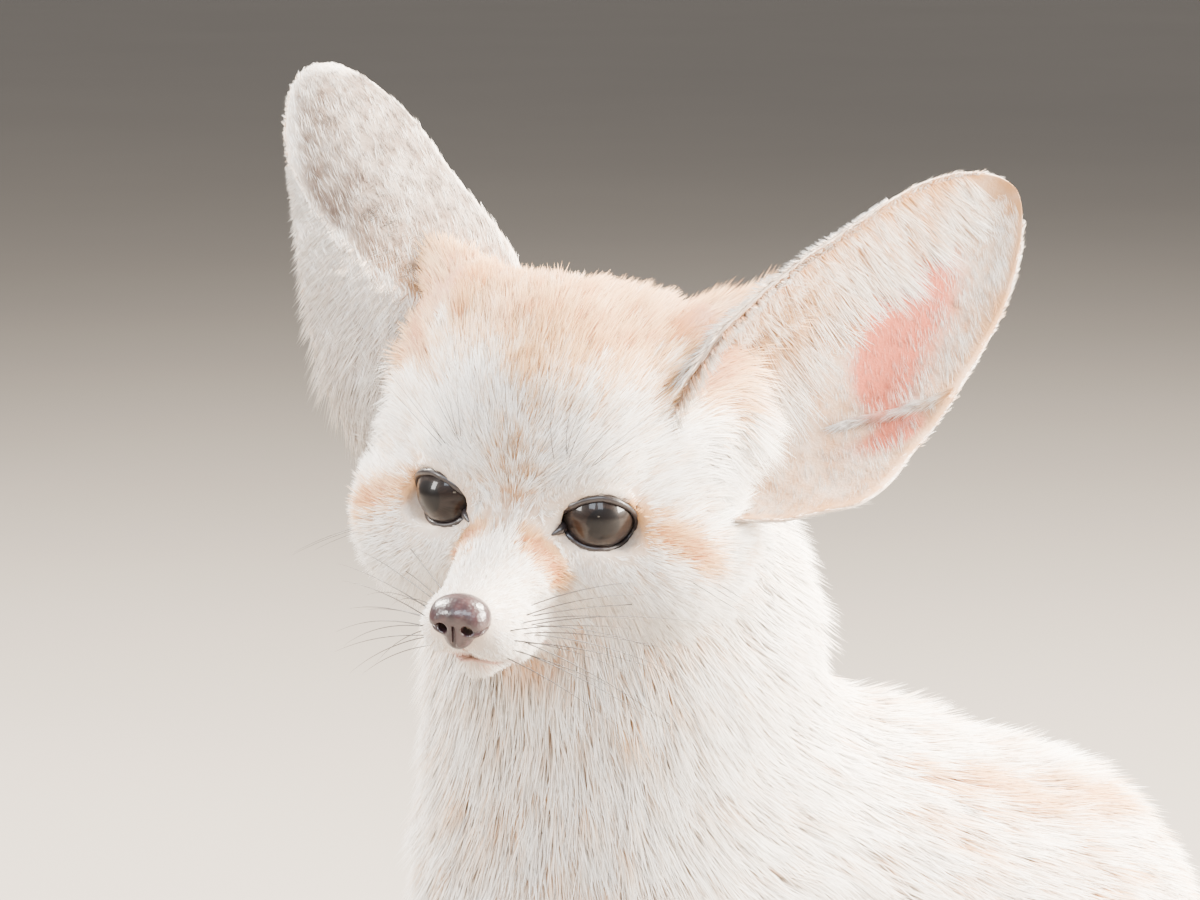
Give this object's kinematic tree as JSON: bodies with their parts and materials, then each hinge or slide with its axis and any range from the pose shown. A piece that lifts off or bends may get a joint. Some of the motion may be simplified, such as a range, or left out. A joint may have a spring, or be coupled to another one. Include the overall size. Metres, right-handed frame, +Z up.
{
  "type": "fennec fox figure",
  "caption": "Life-size still model of a sitting fennec fox with its head turned and its tail curled along the floor, for filling a desert or zoo scene.",
  "frame": {"origin": "on the floor, under the middle of the whole model's box", "axes": "+Z up, -Y the way the chest faces, +X the fox's left; the head is turned about 45 degrees to its left"},
  "size_m": [0.1846, 0.2508, 0.3055],
  "materials": {
    "coat": "short dense soft fur, sandy above and white on the face, chest and belly",
    "dark_coat": "bushy blackish brown fur of the tail's tip",
    "nose": "moist dark brown nose leather; also the claws",
    "eye": "wet dark brown eye"
  },
  "bodies": {
    "root": {"head": "coat", "jaw": "coat", "nose": "nose", "eye_left": "eye", "ear_left": "coat", "eye_right": "eye", "ear_right": "coat", "torso": "coat", "rump": "coat", "neck": "coat", "thigh_left": "coat", "foreleg_left": "coat", "hind_foot_left": "coat", "thigh_right": "coat", "foreleg_right": "coat", "hind_foot_right": "coat", "tail_base": "coat", "tail_middle": "coat", "tail_tip": "dark_coat"}
  },
  "joints": []
}
